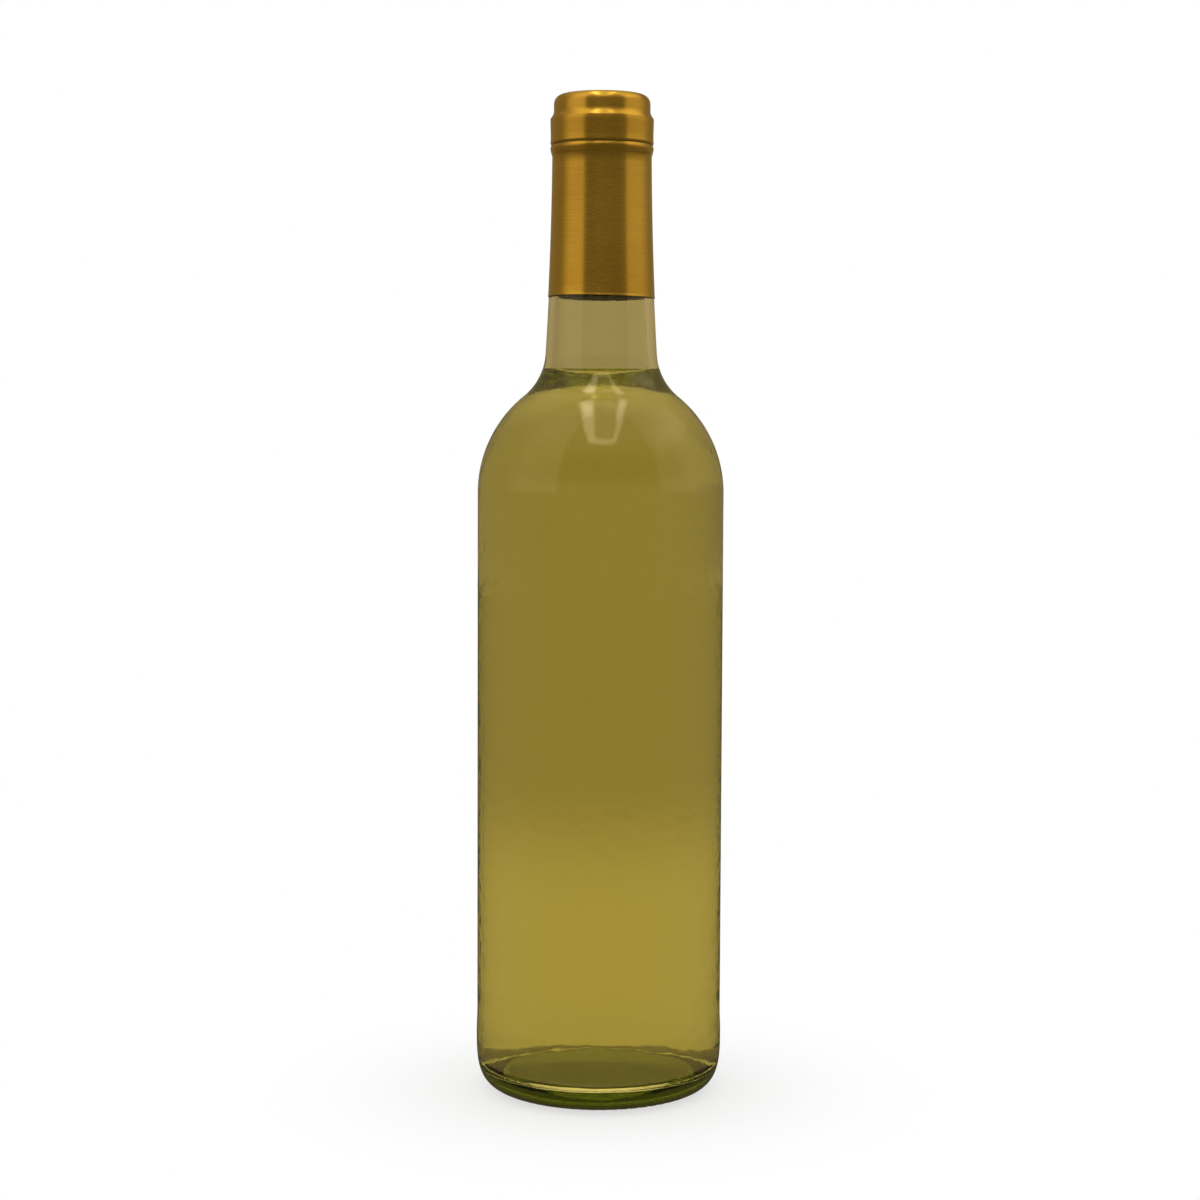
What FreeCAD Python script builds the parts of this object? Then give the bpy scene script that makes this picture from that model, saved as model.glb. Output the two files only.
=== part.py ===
import FreeCAD, Part
import math
import os

# A closed bottle of white wine: a hollow glass bottle with straight sides and
# high shoulders, the wine inside it, and a thin metal capsule over its mouth.
# Every piece is turned about +Z. Millimetres; the origin is the centre of the
# ring that the bottle stands on.

# Outside of the glass, from the base up
BODY_RADIUS = 37.42
SIDE_HEIGHT = 183.4         # height where the straight side ends
SHOULDER_RADIUS = 37.7      # round of the shoulder
FLARE_RADIUS = 17.9         # hollow curve between shoulder and neck
NECK_FOOT_RISE = 42.0       # from the end of the straight side to the neck's foot
NECK_FOOT_RADIUS = 16.9
NECK_FOOT_TAPER = 0.062     # narrowing per unit of height at the neck's foot
NECK_TOP_RADIUS = 14.8      # neck just under the finish ring
NECK_LENGTH = 77.45         # from the neck's foot to the top of the glass

# Base: heel, standing ring and punt
HEEL_WIDTH = 12.1           # from the standing ring out to the contact band
HEEL_HEIGHT = 18.0
HEEL_FLATNESS = 12.0        # how far the heel's curve follows the floor
HEEL_STEEPNESS = 10.5       # how far it follows the side
CONTACT_BAND_PROUD = 0.2    # band that touches other bottles on the line
CONTACT_BAND_TOP = 21.0
CONTACT_BAND_FADE = 4.0
STAND_RING_WIDTH = 1.2
STAND_RING_ROUND = 3.5      # inner round of the standing ring
PUNT_HEIGHT = 5.0
PUNT_DOME_RADIUS = 100.0
PUNT_CORNER = 3.0

# Glass wall and the space inside
WALL = 2.65
BASE_WALL = 7.2             # glass under the lowest wine
DOME_WALL = 7.0             # glass over the punt
GUTTER_RADIUS = 3.6         # round of the trough about the dome
DOME_SHOULDER = 5.0         # round where the dome turns down into the trough
BORE_RADIUS = 9.25          # mouth
BORE_GROWTH = 0.35          # the bore widens by this over its length
BORE_LENGTH = 40.0
BORE_CHAMFER = 0.8
BORE_EASE = 18.0            # height over which the bore opens to the neck

# Finish: the ring and lip at the mouth
LIP_RADIUS = 14.3
LIP_ROUND = 2.5
LIP_HEIGHT = 4.55           # from the cove under the lip to the top
COVE_HEIGHT = 2.3           # hollow curve between ring and lip
RING_RADIUS = 15.35
RING_HEIGHT = 8.0
RING_UNDERCUT = 0.8

# Wine and capsule
ULLAGE = 82.45              # from the top of the glass down to the wine
CAPSULE_WALL = 0.25
CAPSULE_LENGTH = 61.1
CREASE_DEPTH = 0.2          # pressed line between the ring and the bead
CREASE_WIDTH = 0.5
BEAD_WIDTH = 0.7
BEAD_SET_BACK = 0.05

# Heights that follow
NECK_FOOT_HEIGHT = SIDE_HEIGHT + NECK_FOOT_RISE
GLASS_HEIGHT = NECK_FOOT_HEIGHT + NECK_LENGTH
RING_TOP = GLASS_HEIGHT - LIP_HEIGHT - COVE_HEIGHT
RING_BOTTOM = RING_TOP - RING_HEIGHT
WINE_LEVEL = GLASS_HEIGHT - ULLAGE
CAPSULE_BOTTOM = GLASS_HEIGHT + CAPSULE_WALL - CAPSULE_LENGTH

AXIS = FreeCAD.Vector(0, 0, 1)
ORIGIN = FreeCAD.Vector(0, 0, 0)


def at(point):
    """A point of a section: its distance from the axis and its height."""
    return FreeCAD.Vector(point[0], 0, point[1])


def line(start, end):
    return Part.LineSegment(at(start), at(end)).toShape()


def toward(start, end, distance):
    """The point at a distance from start on the way to end."""
    share = distance / math.dist(start, end)
    return (start[0] + (end[0] - start[0]) * share, start[1] + (end[1] - start[1]) * share)


def arc(centre, start, end, bulge):
    """An arc about a centre, that passes on the side that bulge points to."""
    radius = math.dist(centre, start)
    middle = ((start[0] + end[0]) / 2, (start[1] + end[1]) / 2)
    crest = toward(centre, middle, radius)
    if (crest[0] - centre[0]) * bulge[0] + (crest[1] - centre[1]) * bulge[1] < 0:
        crest = (2 * centre[0] - crest[0], 2 * centre[1] - crest[1])
    return Part.Arc(at(start), at(crest), at(end)).toShape()


def curve(poles):
    """A smooth curve from the first pole to the last, pulled by those between."""
    bezier = Part.BezierCurve()
    bezier.setPoles([at(pole) for pole in poles])
    return bezier.toShape()


def meet(centre_a, radius_a, centre_b, radius_b, side):
    """Where two circles cross, to the left (1) or right (-1) of the way from a to b."""
    span = math.dist(centre_a, centre_b)
    along = (radius_a ** 2 - radius_b ** 2 + span ** 2) / (2 * span)
    across = side * math.sqrt(radius_a ** 2 - along ** 2)
    unit = ((centre_b[0] - centre_a[0]) / span, (centre_b[1] - centre_a[1]) / span)
    return (
        centre_a[0] + unit[0] * along - unit[1] * across,
        centre_a[1] + unit[1] * along + unit[0] * across,
    )


def neck_arc():
    """Centre and radius of the neck's long, slight curve."""
    angle = math.atan(NECK_FOOT_TAPER)
    rise = RING_BOTTOM - RING_UNDERCUT - NECK_FOOT_HEIGHT
    run = NECK_TOP_RADIUS - NECK_FOOT_RADIUS
    outward = run * math.cos(angle) + rise * math.sin(angle)
    radius = (run ** 2 + rise ** 2) / (2 * outward)
    centre = (
        NECK_FOOT_RADIUS + radius * math.cos(angle),
        NECK_FOOT_HEIGHT + radius * math.sin(angle),
    )
    return centre, radius


def neck_at(height, proud=0.0):
    """The neck's point at a height, on its surface or proud of it."""
    centre, radius = neck_arc()
    reach = math.sqrt((radius - proud) ** 2 - (height - centre[1]) ** 2)
    return (centre[0] - reach, height)


def neck_run(low, high, proud=0.0):
    """The neck's curve from one height to another."""
    middle = neck_at((low + high) / 2, proud)
    low_point = neck_at(low, proud)
    high_point = neck_at(high, proud)
    return Part.Arc(at(low_point), at(middle), at(high_point)).toShape()


def shoulder_centre():
    return (BODY_RADIUS - SHOULDER_RADIUS, SIDE_HEIGHT)


def flare_centre():
    """The flare touches both the shoulder's round and the neck's curve."""
    neck_centre, neck_radius = neck_arc()
    return meet(
        shoulder_centre(), SHOULDER_RADIUS + FLARE_RADIUS,
        neck_centre, neck_radius - FLARE_RADIUS, 1,
    )


def side_run(inset=0.0):
    """Shoulder and flare, at a depth below the outer surface, and where they end."""
    shoulder = shoulder_centre()
    flare = flare_centre()
    neck_centre, neck_radius = neck_arc()
    start = (BODY_RADIUS - inset, SIDE_HEIGHT)
    turn = toward(shoulder, flare, SHOULDER_RADIUS - inset)
    end = toward(neck_centre, flare, neck_radius + inset)
    edges = [
        arc(shoulder, start, turn, (1, 1)),
        arc(flare, turn, end, (-1, -1)),
    ]
    return edges, end


def dome_centre():
    return (0.0, PUNT_HEIGHT - PUNT_DOME_RADIUS)


def base_outside():
    """Underside from the punt's middle out to the top of the contact band."""
    dome = dome_centre()
    band_radius = BODY_RADIUS + CONTACT_BAND_PROUD
    ring_end = (band_radius - HEEL_WIDTH, 0.0)
    ring = (ring_end[0] - STAND_RING_WIDTH, STAND_RING_ROUND)
    corner = meet(
        dome, PUNT_DOME_RADIUS - PUNT_CORNER,
        ring, STAND_RING_ROUND + PUNT_CORNER, 1,
    )
    top = (0.0, PUNT_HEIGHT)
    dome_edge = toward(dome, corner, PUNT_DOME_RADIUS)
    ring_inside = toward(ring, corner, STAND_RING_ROUND)
    ring_start = (ring[0], 0.0)
    heel_top = (band_radius, HEEL_HEIGHT)
    heel = [
        ring_end,
        (ring_end[0] + HEEL_FLATNESS, 0.0),
        (band_radius, HEEL_HEIGHT - HEEL_STEEPNESS),
        heel_top,
    ]
    band_top = (band_radius, CONTACT_BAND_TOP)
    panel_start = (BODY_RADIUS, CONTACT_BAND_TOP + CONTACT_BAND_FADE)
    edges = [
        arc(dome, top, dome_edge, (0, 1)),
        arc(corner, dome_edge, ring_inside, (1, 1)),
        arc(ring, ring_inside, ring_start, (-1, -1)),
        line(ring_start, ring_end),
        curve(heel),
        line(heel_top, band_top),
        line(band_top, panel_start),
        line(panel_start, (BODY_RADIUS, SIDE_HEIGHT)),
    ]
    return edges


def base_inside():
    """Floor of the space inside, from its middle out and up to the shoulder."""
    dome = dome_centre()
    dome_radius = PUNT_DOME_RADIUS + DOME_WALL
    inside = BODY_RADIUS - WALL
    gutter = (inside - GUTTER_RADIUS, BASE_WALL + GUTTER_RADIUS)
    corner = meet(
        dome, dome_radius - DOME_SHOULDER,
        gutter, GUTTER_RADIUS + DOME_SHOULDER, 1,
    )
    top = (0.0, dome[1] + dome_radius)
    dome_edge = toward(dome, corner, dome_radius)
    gutter_inside = toward(gutter, corner, GUTTER_RADIUS)
    gutter_end = (inside, gutter[1])
    edges = [
        arc(dome, top, dome_edge, (0, 1)),
        arc(corner, dome_edge, gutter_inside, (1, 1)),
        arc(gutter, gutter_inside, gutter_end, (0.5, -1)),
        line(gutter_end, (inside, SIDE_HEIGHT)),
    ]
    return edges, top


def ring_underside(proud):
    """Where the neck meets the ring's lower slope, and the ring's lower corner."""
    low = neck_at(RING_BOTTOM - RING_UNDERCUT, proud)
    corner = (RING_RADIUS + proud, RING_BOTTOM)
    return low, corner


def lip_outline(proud):
    """Lip from the ring's upper corner to the edge of the flat top."""
    ring_top = (RING_RADIUS + proud, RING_TOP)
    lip_foot = (LIP_RADIUS + proud, GLASS_HEIGHT - LIP_HEIGHT)
    step = RING_RADIUS - LIP_RADIUS
    cove_radius = (step ** 2 + COVE_HEIGHT ** 2) / (2 * step)
    cove = (lip_foot[0] + cove_radius, lip_foot[1])
    centre = (LIP_RADIUS - LIP_ROUND, GLASS_HEIGHT - LIP_ROUND)
    round_start = (LIP_RADIUS + proud, centre[1])
    flat_edge = (centre[0], GLASS_HEIGHT + proud)
    edges = [
        arc(cove, ring_top, lip_foot, (-1, -1)),
        line(lip_foot, round_start),
        arc(centre, round_start, flat_edge, (1, 1)),
    ]
    return edges, ring_top, flat_edge


def finish_outside():
    """Outer surface of the glass ring and lip."""
    low, corner = ring_underside(0.0)
    edges, ring_top, flat_edge = lip_outline(0.0)
    return [line(low, corner), line(corner, ring_top)] + edges, low, flat_edge


def mouth_inside(neck_end):
    """Bore of the mouth, opening downwards to the inside of the neck."""
    bore_top = (BORE_RADIUS, GLASS_HEIGHT - BORE_CHAMFER)
    bore_end = (BORE_RADIUS + BORE_GROWTH, GLASS_HEIGHT - BORE_LENGTH)
    ease_end = neck_at(bore_end[1] - BORE_EASE, -WALL)
    handle = BORE_EASE / 2
    poles = [
        bore_end,
        (bore_end[0], bore_end[1] - handle),
        neck_at(ease_end[1] + handle, -WALL),
        ease_end,
    ]
    centre = neck_arc()[0]
    middle = neck_at((neck_end[1] + ease_end[1]) / 2, -WALL)
    return [
        line((BORE_RADIUS + BORE_CHAMFER, GLASS_HEIGHT), bore_top),
        line(bore_top, bore_end),
        curve(poles),
        arc(centre, ease_end, neck_end, (middle[0] - centre[0], middle[1] - centre[1])),
    ]


def turned(edges):
    """Solid of revolution of a closed section."""
    wire = Part.Wire(Part.__sortEdges__(edges))
    solid = Part.Face(wire).revolve(ORIGIN, AXIS, 360)
    return solid


def make_bottle():
    side, neck_foot = side_run()
    inner_side, inner_foot = side_run(WALL)
    inner_base, dome_top = base_inside()
    finish, finish_low, flat_edge = finish_outside()
    mouth = mouth_inside(inner_foot)
    section = base_outside() + side
    section += [neck_run(neck_foot[1], finish_low[1])] + finish
    section += [line(flat_edge, (BORE_RADIUS + BORE_CHAMFER, GLASS_HEIGHT))]
    section += mouth + inner_side + inner_base
    section += [line((0.0, PUNT_HEIGHT), dome_top)]
    return turned(section)


def make_wine():
    """All that the bottle holds below the level, with the bottle's inside as its walls."""
    inner_side, inner_foot = side_run(WALL)
    inner_base, dome_top = base_inside()
    mouth_edge = (BORE_RADIUS + BORE_CHAMFER, GLASS_HEIGHT)
    mouth_middle = (0.0, GLASS_HEIGHT)
    section = inner_base + inner_side + mouth_inside(inner_foot)
    section += [line(mouth_edge, mouth_middle), line(mouth_middle, dome_top)]
    above = Part.makeCylinder(2 * BODY_RADIUS, GLASS_HEIGHT, FreeCAD.Vector(0, 0, WINE_LEVEL))
    return turned(section).cut(above)


def make_capsule():
    """Thin metal pressed over the lip, the ring and the top of the neck."""
    inner_finish, finish_low, inner_flat = finish_outside()
    corner = ring_underside(CAPSULE_WALL)[1]
    lip, ring_top, outer_flat = lip_outline(CAPSULE_WALL)
    bead_radius = corner[0] - BEAD_SET_BACK
    crease_bottom = (bead_radius, corner[1])
    crease = (corner[0] - CREASE_DEPTH, corner[1] + CREASE_WIDTH / 2)
    crease_top = (corner[0], corner[1] + CREASE_WIDTH)
    bead_bottom = (bead_radius, corner[1] - BEAD_WIDTH)
    skirt_top = neck_at(bead_bottom[1] - RING_UNDERCUT, CAPSULE_WALL)
    section = [neck_run(CAPSULE_BOTTOM, finish_low[1])] + inner_finish
    section += [
        line(inner_flat, (0.0, GLASS_HEIGHT)),
        line((0.0, GLASS_HEIGHT), (0.0, outer_flat[1])),
        line((0.0, outer_flat[1]), outer_flat),
    ]
    section += lip
    section += [
        line(ring_top, crease_top),
        line(crease_top, crease),
        line(crease, crease_bottom),
        line(crease_bottom, bead_bottom),
        line(bead_bottom, skirt_top),
        neck_run(CAPSULE_BOTTOM, skirt_top[1], CAPSULE_WALL),
        line(neck_at(CAPSULE_BOTTOM), neck_at(CAPSULE_BOTTOM, CAPSULE_WALL)),
    ]
    return turned(section)


def main():
    os.makedirs("parts", exist_ok=True)
    pieces = {
        "bottle": make_bottle(),
        "wine": make_wine(),
        "capsule": make_capsule(),
    }
    for name, shape in pieces.items():
        shape.exportStep(f"parts/{name}.step")
        print(name, "valid", shape.isValid(), "volume", round(shape.Volume / 1000, 2), "ml")


main()
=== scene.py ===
import math

import bpy
from mathutils import Matrix, Vector


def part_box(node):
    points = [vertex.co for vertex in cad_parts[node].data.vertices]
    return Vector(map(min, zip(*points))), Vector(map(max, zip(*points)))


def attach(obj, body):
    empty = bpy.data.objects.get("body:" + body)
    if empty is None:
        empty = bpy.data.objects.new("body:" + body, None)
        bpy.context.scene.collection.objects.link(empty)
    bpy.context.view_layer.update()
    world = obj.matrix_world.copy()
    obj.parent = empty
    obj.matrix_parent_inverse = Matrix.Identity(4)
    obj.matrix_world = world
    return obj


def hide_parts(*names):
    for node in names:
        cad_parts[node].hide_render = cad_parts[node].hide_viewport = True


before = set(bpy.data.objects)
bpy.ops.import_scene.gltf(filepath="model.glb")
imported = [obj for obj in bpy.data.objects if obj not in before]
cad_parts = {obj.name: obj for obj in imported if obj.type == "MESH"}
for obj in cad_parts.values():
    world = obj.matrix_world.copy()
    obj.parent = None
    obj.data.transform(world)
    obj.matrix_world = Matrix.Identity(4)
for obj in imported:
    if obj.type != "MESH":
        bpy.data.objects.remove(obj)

bl_info = {
    "name": "Wine Bottle",
    "version": (1, 0, 0),
    "blender": (4, 5, 0),
    "location": "3D View > Sidebar > Bottle",
    "description": "Builds a closed bottle of white wine with a foil capsule",
    "category": "Add Mesh",
}

BOTTLE_LOW, BOTTLE_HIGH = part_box("bottle")
WINE_LOW, WINE_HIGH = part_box("wine")
CAPSULE_LOW, CAPSULE_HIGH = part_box("capsule")
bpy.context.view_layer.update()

MM = 0.001
TURN_STEPS = 240            # facets round the axis, fine enough for clean refraction
ARC_STEP = 0.0006           # longest chord along a section's arcs
LARGE_ARC_RADIUS = 0.2      # an arc this large is nearly straight and takes few points
LARGE_ARC_STEPS = 16
NECK_STEPS = 12             # points along the neck, inside and outside
POINT_MERGE = 1e-6
TINT_IN_SKIN = 0.7          # share of the glass's tint at its surface, so the thick base stays light
WINE_OVERLAP = 0.15 * MM    # the wine reaches this far into the glass

KNURL_DEPTH = 0.22 * MM     # dimples that keep the standing ring from sliding
KNURL_START = 0.8 * MM      # from the standing ring out to the first row
KNURL_SPAN = 6 * MM
KNURL_ROWS = 4
KNURL_LIMIT = 1.2 * MM      # height on the heel above which there are none
SEAM_PROUD = 0.04 * MM      # parting line of the mould
SEAM_COLUMNS = (13, 133)    # spin steps that the two parting lines run along

STREAK_WIDTH = 9 * MM       # the glass skin's long streaks
STREAK_LENGTH = 110 * MM
RIPPLE_SIZE = 24 * MM
RIPPLE_DEPTH = 0.035 * MM
PEBBLE_SIZE = 3.5 * MM      # small unevenness that breaks up the edges of reflections
PEBBLE_DEPTH = 0.045 * MM

SCRATCH_LENGTH = 14 * MM    # level scratches in the foil
SCRATCH_PITCH = 0.45 * MM   # coarser than real roller marks, so that they show
SCRATCH_DEPTH = 0.02 * MM
LACQUER_PATCH = 22 * MM

FLOOR_RADIUS = 2.5
SHADOW_REACH = 0.11         # from the bottle's middle to where its contact shadow has gone
SHADOW_DEPTH = 0.35         # share of the floor's white that the shadow can take

TENT_BEIGE = (0.672, 0.45, 0.30)    # warm cloth of the light tent, as it shows through glass
WALL_WARMTH = (1.0, 0.82, 0.44)     # and as metal and glass mirror it
LAMP_WARMTH = (1.0, 0.89, 0.56)     # its bright panels, mirrored
PAINTED_GLOW_BEHIND = 1.45         # painted glow of the floor close to the bottle as glass shows it, over the tent's wall
PAINTED_GLOW_UNDER = 2.3           # painted pool of light on the floor under the bottle as glass shows it, over the floor beside it
PANEL_EDGE = 0.035
SIDE_PANEL_LEVEL = 0.45
CEILING_LEVEL = 0.35        # glow of the whole ceiling, mirrored
FRONT_SHADE = 0.95          # how dark the tent is high up in front, seen through glass


# ---------------------------------------------------------------- settings


class BottleShape(bpy.types.PropertyGroup):
    """Sizes of the glass, from the base up."""

    band_proud: bpy.props.FloatProperty(
        name="Contact Band", description="How far the band at the heel stands proud of the side",
        default=0.2 * MM, unit="LENGTH")
    band_top: bpy.props.FloatProperty(
        name="Band Top", description="Height where the contact band starts to fade",
        default=21.0 * MM, unit="LENGTH")
    band_fade: bpy.props.FloatProperty(
        name="Band Fade", description="Height over which the contact band fades into the side",
        default=4.0 * MM, unit="LENGTH")
    side_height: bpy.props.FloatProperty(
        name="Side Height", description="Height where the straight side ends",
        default=183.4 * MM, unit="LENGTH")
    shoulder_radius: bpy.props.FloatProperty(
        name="Shoulder Radius", description="Round of the shoulder",
        default=37.7 * MM, unit="LENGTH")
    flare_radius: bpy.props.FloatProperty(
        name="Flare Radius", description="Hollow curve between the shoulder and the neck",
        default=17.9 * MM, unit="LENGTH")
    neck_foot_rise: bpy.props.FloatProperty(
        name="Neck Foot Rise", description="From the end of the straight side to the neck's foot",
        default=42.0 * MM, unit="LENGTH")
    neck_foot_radius: bpy.props.FloatProperty(
        name="Neck Foot Radius", description="Radius of the neck at its foot",
        default=16.9 * MM, unit="LENGTH")
    neck_foot_taper: bpy.props.FloatProperty(
        name="Neck Taper", description="Narrowing of the neck per unit of height at its foot",
        default=0.062)
    neck_top_radius: bpy.props.FloatProperty(
        name="Neck Top Radius", description="Radius of the neck under the finish ring",
        default=14.8 * MM, unit="LENGTH")
    heel_width: bpy.props.FloatProperty(
        name="Heel Width", description="From the standing ring out to the contact band",
        default=12.1 * MM, unit="LENGTH")
    heel_height: bpy.props.FloatProperty(
        name="Heel Height", description="Height where the heel meets the contact band",
        default=18.0 * MM, unit="LENGTH")
    heel_flatness: bpy.props.FloatProperty(
        name="Heel Flatness", description="How far the heel's curve follows the floor",
        default=12.0 * MM, unit="LENGTH")
    heel_steepness: bpy.props.FloatProperty(
        name="Heel Steepness", description="How far the heel's curve follows the side",
        default=10.5 * MM, unit="LENGTH")
    stand_width: bpy.props.FloatProperty(
        name="Standing Ring Width", description="Flat that the bottle stands on",
        default=1.2 * MM, unit="LENGTH")
    stand_round: bpy.props.FloatProperty(
        name="Standing Ring Round", description="Inner round of the standing ring",
        default=3.5 * MM, unit="LENGTH")
    punt_height: bpy.props.FloatProperty(
        name="Punt Height", description="Height of the hollow under the base",
        default=5.0 * MM, unit="LENGTH")
    punt_dome_radius: bpy.props.FloatProperty(
        name="Punt Dome Radius", description="Radius of the dome in the base",
        default=100.0 * MM, unit="LENGTH")
    punt_corner: bpy.props.FloatProperty(
        name="Punt Corner", description="Round between the dome and the standing ring",
        default=3.0 * MM, unit="LENGTH")
    wall: bpy.props.FloatProperty(
        name="Wall", description="Thickness of the side, shoulder and neck",
        default=2.65 * MM, unit="LENGTH")
    dome_wall: bpy.props.FloatProperty(
        name="Dome Wall", description="Thickness of the glass over the punt",
        default=7.0 * MM, unit="LENGTH")
    gutter_radius: bpy.props.FloatProperty(
        name="Gutter Radius", description="Round of the trough about the dome, inside",
        default=3.6 * MM, unit="LENGTH")
    dome_shoulder: bpy.props.FloatProperty(
        name="Dome Shoulder", description="Round where the dome turns down into the trough",
        default=5.0 * MM, unit="LENGTH")
    bore_radius: bpy.props.FloatProperty(
        name="Bore Radius", description="Radius of the mouth",
        default=9.25 * MM, unit="LENGTH")
    bore_growth: bpy.props.FloatProperty(
        name="Bore Growth", description="How much the bore widens over its length",
        default=0.35 * MM, unit="LENGTH")
    bore_length: bpy.props.FloatProperty(
        name="Bore Length", description="Length of the narrow bore",
        default=40.0 * MM, unit="LENGTH")
    bore_ease: bpy.props.FloatProperty(
        name="Bore Ease", description="Height over which the bore opens to the neck",
        default=18.0 * MM, unit="LENGTH")
    ring_radius: bpy.props.FloatProperty(
        name="Finish Ring Radius", description="Radius of the glass ring at the mouth",
        default=15.35 * MM, unit="LENGTH")
    ring_height: bpy.props.FloatProperty(
        name="Finish Ring Height", description="Height of the glass ring at the mouth",
        default=8.0 * MM, unit="LENGTH")
    ring_undercut: bpy.props.FloatProperty(
        name="Ring Undercut", description="Height of the slope under the ring",
        default=0.8 * MM, unit="LENGTH")
    cove_height: bpy.props.FloatProperty(
        name="Cove Height", description="Slope between the ring and the lip",
        default=2.3 * MM, unit="LENGTH")
    edge_round: bpy.props.FloatProperty(
        name="Edge Round", description="Softened edge of the finish ring",
        default=0.25 * MM, unit="LENGTH")
    lip_radius: bpy.props.FloatProperty(
        name="Lip Radius", description="Radius of the glass lip",
        default=14.3 * MM, unit="LENGTH")
    lip_round: bpy.props.FloatProperty(
        name="Lip Round", description="Round of the lip's upper edge",
        default=2.5 * MM, unit="LENGTH")
    lip_height: bpy.props.FloatProperty(
        name="Lip Height", description="From the slope under the lip to the top",
        default=4.55 * MM, unit="LENGTH")
    meniscus: bpy.props.FloatProperty(
        name="Meniscus", description="How far the wine climbs the glass at its edge",
        default=1.2 * MM, unit="LENGTH")
    bead_width: bpy.props.FloatProperty(
        name="Bead Width", description="Bead pressed into the capsule under the ring",
        default=0.7 * MM, unit="LENGTH")
    foil: bpy.props.FloatProperty(
        name="Foil", description="Thickness of the capsule's metal",
        default=0.25 * MM, unit="LENGTH")


class BottleFinish(bpy.types.PropertyGroup):
    """Colours of the glass, the wine and the capsule."""

    glass_through: bpy.props.FloatVectorProperty(
        name="Glass", description="Share of light that one wall of the glass lets through",
        subtype="COLOR", size=3, min=0.0, max=1.0, default=(0.70, 0.745, 0.52))
    wine_through: bpy.props.FloatVectorProperty(
        name="Wine", description="Share of light that the wine lets through across the body",
        subtype="COLOR", size=3, min=0.0, max=1.0, default=(0.817, 0.80, 0.295))
    foil_colour: bpy.props.StringProperty(
        name="Capsule", description="Gold lacquer of the capsule, as a hex colour", default="E4BC58")
    foil_dark: bpy.props.StringProperty(
        name="Capsule, Dark", description="Thicker lacquer of the capsule, as a hex colour",
        default="DAB04E")


# ---------------------------------------------------------------- small helpers


def linear(hex_colour):
    """sRGB hex to a linear colour with full alpha."""
    parts = [int(hex_colour[i:i + 2], 16) / 255 for i in (0, 2, 4)]
    return [c / 12.92 if c <= 0.04045 else ((c + 0.055) / 1.055) ** 2.4 for c in parts] + [1.0]


def add_node(tree, kind, inputs=None, **settings):
    """Adds a node. An input is given a value, or a socket to link from."""
    node = tree.nodes.new(kind)
    for name, value in settings.items():
        setattr(node, name, value)
    for key, value in (inputs or {}).items():
        if isinstance(value, bpy.types.NodeSocket):
            tree.links.new(value, node.inputs[key])
        else:
            node.inputs[key].default_value = value
    return node


def new_material(name):
    """An empty node material and its output node."""
    material = bpy.data.materials.new(name)
    material.use_nodes = True
    tree = material.node_tree
    tree.nodes.clear()
    return material, tree, tree.nodes.new("ShaderNodeOutputMaterial")


def deselect_all():
    bpy.ops.object.select_all(action="DESELECT")


def toward(start, end, distance):
    """The point at a distance from start on the way to end."""
    return tuple(Vector(start).lerp(Vector(end), distance / math.dist(start, end)))


def meet(centre_a, radius_a, centre_b, radius_b):
    """Where two circles cross, to the left of the way from a to b."""
    span = math.dist(centre_a, centre_b)
    along = (radius_a ** 2 - radius_b ** 2 + span ** 2) / (2 * span)
    across = math.sqrt(radius_a ** 2 - along ** 2)
    unit = (Vector(centre_b) - Vector(centre_a)) / span
    return tuple(Vector(centre_a) + unit * along + unit.orthogonal() * across)


def arc(centre, start, end):
    """Points of the shorter arc about a centre, without its first point."""
    first = math.atan2(start[1] - centre[1], start[0] - centre[0])
    last = math.atan2(end[1] - centre[1], end[0] - centre[0])
    sweep = (last - first + math.pi) % (2 * math.pi) - math.pi
    radius = math.dist(centre, start)
    steps = max(3, math.ceil(abs(sweep) * radius / ARC_STEP))
    if radius > LARGE_ARC_RADIUS:
        steps = LARGE_ARC_STEPS
    angles = [first + sweep * i / steps for i in range(1, steps + 1)]
    return [(centre[0] + radius * math.cos(a), centre[1] + radius * math.sin(a)) for a in angles]


def curve(poles, steps):
    """Points of a smooth curve pulled by its poles, without its first point."""
    a, b, c, d = (Vector(pole) for pole in poles)
    points = []
    for i in range(1, steps + 1):
        s = i / steps
        r = 1 - s
        points.append(tuple(a * r ** 3 + b * 3 * r * r * s + c * 3 * r * s * s + d * s ** 3))
    return points


# ---------------------------------------------------------------- sections of the bottle


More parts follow.
